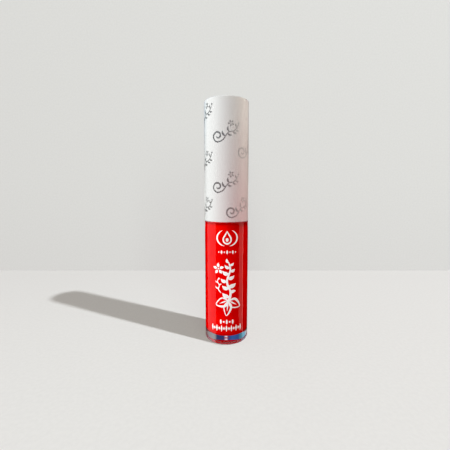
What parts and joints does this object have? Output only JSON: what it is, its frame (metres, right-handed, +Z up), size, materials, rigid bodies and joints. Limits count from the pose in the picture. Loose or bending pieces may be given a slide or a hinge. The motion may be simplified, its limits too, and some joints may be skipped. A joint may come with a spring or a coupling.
{
  "type": "lip gloss tube",
  "caption": "Round lip gloss tube: clear thick-walled bottle of red gloss, threaded neck with a wiper, and a pearl white screw cap that carries a doe-foot applicator wand.",
  "frame": {"origin": "middle of the flat face that the tube stands on, at the bottom of its box", "axes": "+Z up the tube's axis, from the bottle's base to the cap's top; the slanted face of the applicator looks along +X"},
  "size_m": [0.018, 0.018, 0.097],
  "materials": {
    "clear_bottle": "gloss",
    "red_gloss": "gloss",
    "wiper_plastic": "satin",
    "pearl_cap": "gloss",
    "liner_plastic": "satin",
    "foam_washer": "matte",
    "rod_plastic": "satin",
    "core_plastic": "satin",
    "flock": "matte",
    "foil_print": "satin",
    "white_print": "satin"
  },
  "bodies": {
    "bottle": {"bottle": "clear_bottle", "gloss": "red_gloss", "wiper": "wiper_plastic"},
    "washer": {"seal_washer": "foam_washer"},
    "wand": {"wand_rod": "rod_plastic"},
    "cap": {"outer_cap": "pearl_cap", "inner_cap": "liner_plastic", "applicator_core": "core_plastic", "applicator_flock": "flock"}
  },
  "joints": [
    {"name": "cap_pull", "type": "slide", "parent": "bottle", "child": "washer", "axis": [0, 0, 1], "range_m": [0, 0.06]},
    {"name": "thread_rise", "type": "slide", "parent": "washer", "child": "wand", "axis": [0, 0, 1], "range_m": [0, 0.0032]},
    {"name": "cap_twist", "type": "hinge", "parent": "wand", "child": "cap", "pos_m": [0, 0, 0.0626], "axis": [0, 0, 1], "range_deg": [0, 540]}
  ],
  "couplings": [
    {"joint": "thread_rise", "follows": "cap_twist", "m_per_rad": 0.00033423}
  ]
}
